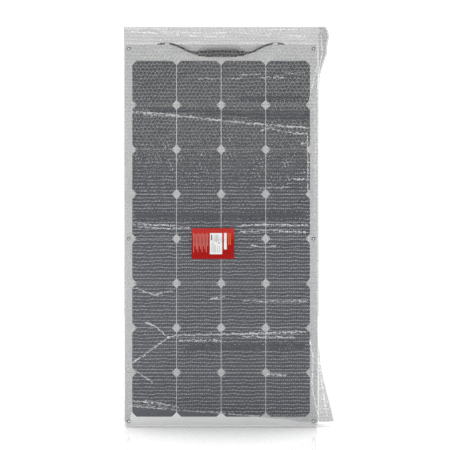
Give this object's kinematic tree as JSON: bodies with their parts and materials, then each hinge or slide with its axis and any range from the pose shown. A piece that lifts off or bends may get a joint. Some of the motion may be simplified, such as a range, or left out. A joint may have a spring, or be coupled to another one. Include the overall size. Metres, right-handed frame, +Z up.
{
  "type": "flexible solar sheet",
  "caption": "Thin flexible solar sheet with square-cornered dark cells, corner eyelets, a slim junction box and two coiled leads, in a bubble-film wrap with a plain red label.",
  "frame": {"origin": "midway between the two top eyelets, in the middle of the sheet's thickness", "axes": "+Z up the sheet, towards its junction box edge; +X to the right seen from the front; the front, with the cells, faces -Y"},
  "size_m": [0.578, 0.0366, 1.136],
  "materials": {
    "clear_film": "gloss",
    "white_core": "satin",
    "cell": "gloss",
    "tinned_copper": "satin",
    "white_backing": "satin",
    "eyelet_metal": "polished",
    "box_plastic": "satin",
    "foam_pad": "matte",
    "terminal_metal": "satin",
    "diode_body": "satin",
    "seal_rubber": "matte",
    "cable_jacket": "satin",
    "marker_tape": "satin",
    "tie": "satin",
    "connector_plastic": "satin",
    "contact_metal": "polished",
    "bubble_film": "gloss",
    "red_label": "gloss",
    "white_label": "matte"
  },
  "bodies": {
    "top_section": {"film_1": "clear_film", "core_1": "white_core", "cells_1": "cell", "cell_links_1": "tinned_copper", "backing_1": "white_backing", "bus_top": "tinned_copper", "output_ribbons": "tinned_copper", "eyelets_top": "eyelet_metal", "box_pad": "foam_pad", "box_base": "box_plastic", "box_lid": "box_plastic", "box_terminals": "terminal_metal", "bypass_diodes": "diode_body", "cable_seals": "seal_rubber", "cable_left": "cable_jacket", "cable_right": "cable_jacket", "tape_bands": "marker_tape", "coil_left": "cable_jacket", "coil_right": "cable_jacket", "coil_ties": "tie", "plug_nut": "connector_plastic", "plug_shell": "connector_plastic", "plug_contact": "contact_metal", "socket_nut": "connector_plastic", "socket_shell": "connector_plastic", "socket_contact": "contact_metal", "wrap_1": "bubble_film"},
    "upper_section": {"film_2": "clear_film", "core_2": "white_core", "cells_2": "cell", "cell_links_2": "tinned_copper", "backing_2": "white_backing", "wrap_2": "bubble_film"},
    "middle_section": {"film_3": "clear_film", "core_3": "white_core", "cells_3": "cell", "cell_links_3": "tinned_copper", "backing_3": "white_backing", "eyelets_middle": "eyelet_metal", "wrap_3": "bubble_film", "label": "red_label", "label_sticker": "white_label", "label_strip": "white_label"},
    "lower_section": {"film_4": "clear_film", "core_4": "white_core", "cells_4": "cell", "cell_links_4": "tinned_copper", "backing_4": "white_backing", "wrap_4": "bubble_film"},
    "foot_section": {"film_5": "clear_film", "core_5": "white_core", "cells_5": "cell", "cell_links_5": "tinned_copper", "backing_5": "white_backing", "bus_bottom": "tinned_copper", "eyelets_bottom": "eyelet_metal", "wrap_5": "bubble_film"}
  },
  "joints": [
    {"name": "bend_1", "type": "hinge", "parent": "top_section", "child": "upper_section", "pos_m": [0, 0, -0.16], "axis": [1, 0, 0], "range_deg": [-7.5, 7.5], "stiffness_Nm_per_rad": 20},
    {"name": "bend_2", "type": "hinge", "parent": "upper_section", "child": "middle_section", "pos_m": [0, 0, -0.414], "axis": [1, 0, 0], "range_deg": [-7.5, 7.5], "stiffness_Nm_per_rad": 20},
    {"name": "bend_3", "type": "hinge", "parent": "middle_section", "child": "lower_section", "pos_m": [0, 0, -0.668], "axis": [1, 0, 0], "range_deg": [-7.5, 7.5], "stiffness_Nm_per_rad": 20},
    {"name": "bend_4", "type": "hinge", "parent": "lower_section", "child": "foot_section", "pos_m": [0, 0, -0.922], "axis": [1, 0, 0], "range_deg": [-7.5, 7.5], "stiffness_Nm_per_rad": 20}
  ],
  "couplings": [
    {"joint": "bend_2", "follows": "bend_1", "ratio": 1},
    {"joint": "bend_3", "follows": "bend_1", "ratio": 1},
    {"joint": "bend_4", "follows": "bend_1", "ratio": 1}
  ]
}
